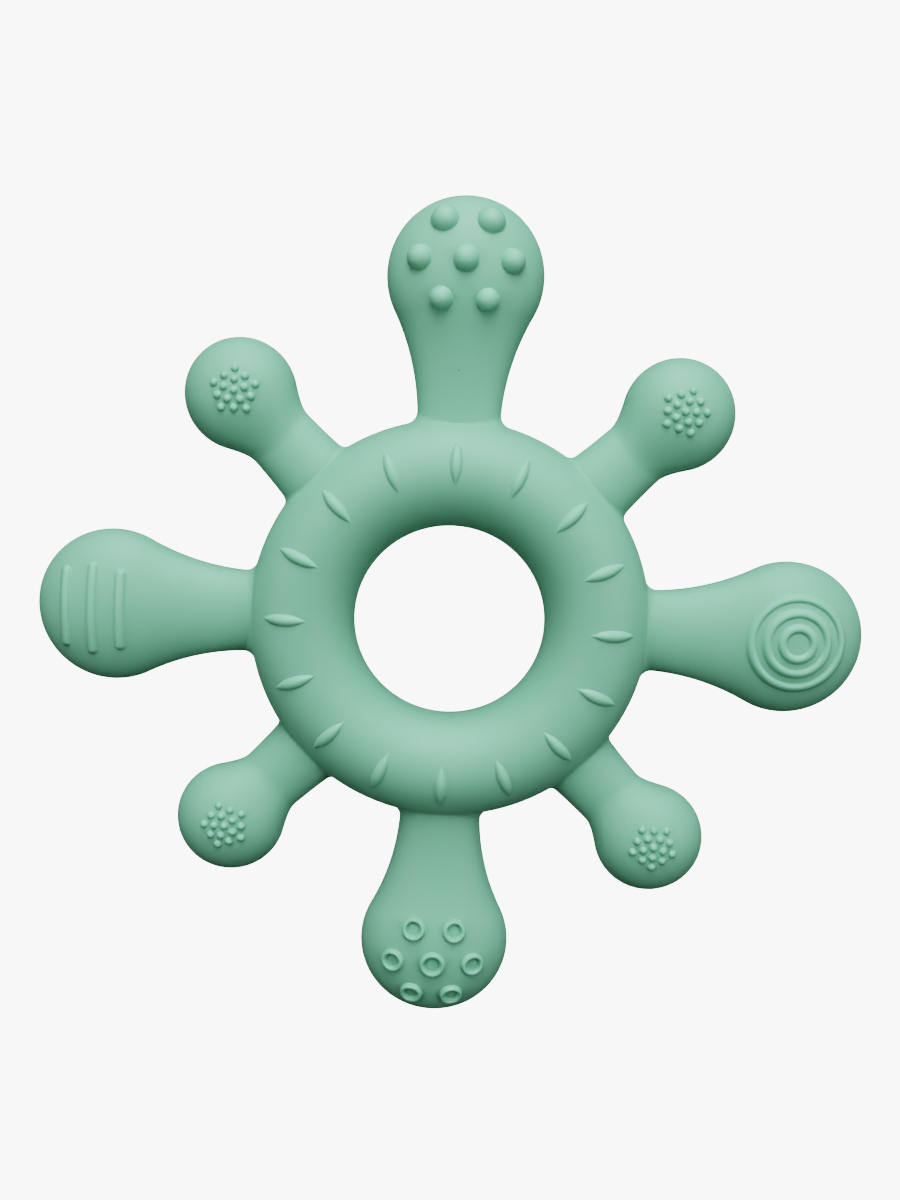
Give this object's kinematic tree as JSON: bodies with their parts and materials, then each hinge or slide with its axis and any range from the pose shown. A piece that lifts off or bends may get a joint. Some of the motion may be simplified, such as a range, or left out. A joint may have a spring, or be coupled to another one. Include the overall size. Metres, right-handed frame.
{
  "type": "silicone teething ring",
  "caption": "Wheel-shaped silicone teether: a round finger ring with long paddle arms and short knob arms, each with raised chewing textures.",
  "frame": {"origin": "middle of the wheel, on the surface it lies on", "axes": "+Z out of the front face, +Y along the arm with the domes, +X along the arm with the circles"},
  "size_m": [0.11, 0.11, 0.0149],
  "materials": {
    "silicone": "matte mint green silicone",
    "raised_silicone": "matte mint green silicone, raised texture"
  },
  "bodies": {
    "root": {"ring": "silicone", "dome_paddle": "silicone", "bar_paddle": "silicone", "cup_paddle": "silicone", "circle_paddle": "silicone", "upper_right_knob": "silicone", "upper_left_knob": "silicone", "lower_left_knob": "silicone", "lower_right_knob": "silicone", "front_ring_ribs": "raised_silicone", "back_ring_ribs": "raised_silicone", "front_domes": "raised_silicone", "back_domes": "raised_silicone", "front_bars": "raised_silicone", "back_bars": "raised_silicone", "front_cups": "raised_silicone", "back_cups": "raised_silicone", "front_circles": "raised_silicone", "back_circles": "raised_silicone", "front_upper_right_dots": "raised_silicone", "back_upper_right_dots": "raised_silicone", "front_upper_left_dots": "raised_silicone", "back_upper_left_dots": "raised_silicone", "front_lower_left_dots": "raised_silicone", "back_lower_left_dots": "raised_silicone", "front_lower_right_dots": "raised_silicone", "back_lower_right_dots": "raised_silicone"}
  },
  "joints": []
}
